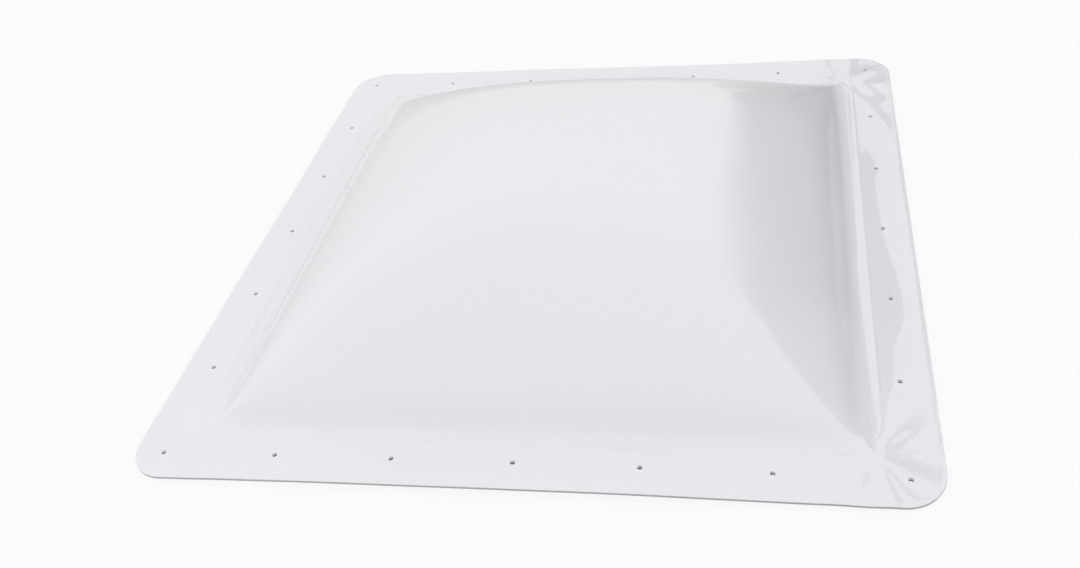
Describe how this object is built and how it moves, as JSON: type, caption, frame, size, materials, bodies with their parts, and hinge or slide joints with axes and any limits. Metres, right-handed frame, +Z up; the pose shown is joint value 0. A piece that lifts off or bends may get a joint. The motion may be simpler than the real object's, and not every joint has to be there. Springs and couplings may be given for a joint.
{
  "type": "roof skylight dome",
  "caption": "Square opal moulded roof skylight dome with a flat screw flange and butyl sealing tape underneath.",
  "frame": {"origin": "middle of the underside, on the plane where the sealing tape meets the roof", "axes": "+Z up out of the roof through the crown, +X to the right, +Y to the rear"},
  "size_m": [0.7112, 0.7112, 0.1076],
  "materials": {
    "opal_sheet": "glossy opal white moulded sheet, lightly translucent",
    "sealing_tape": "matte tacky grey-white butyl"
  },
  "bodies": {
    "root": {"dome_shell": "opal_sheet", "seal_tape_front": "sealing_tape", "seal_tape_rear": "sealing_tape", "seal_tape_left": "sealing_tape", "seal_tape_right": "sealing_tape"}
  },
  "joints": []
}
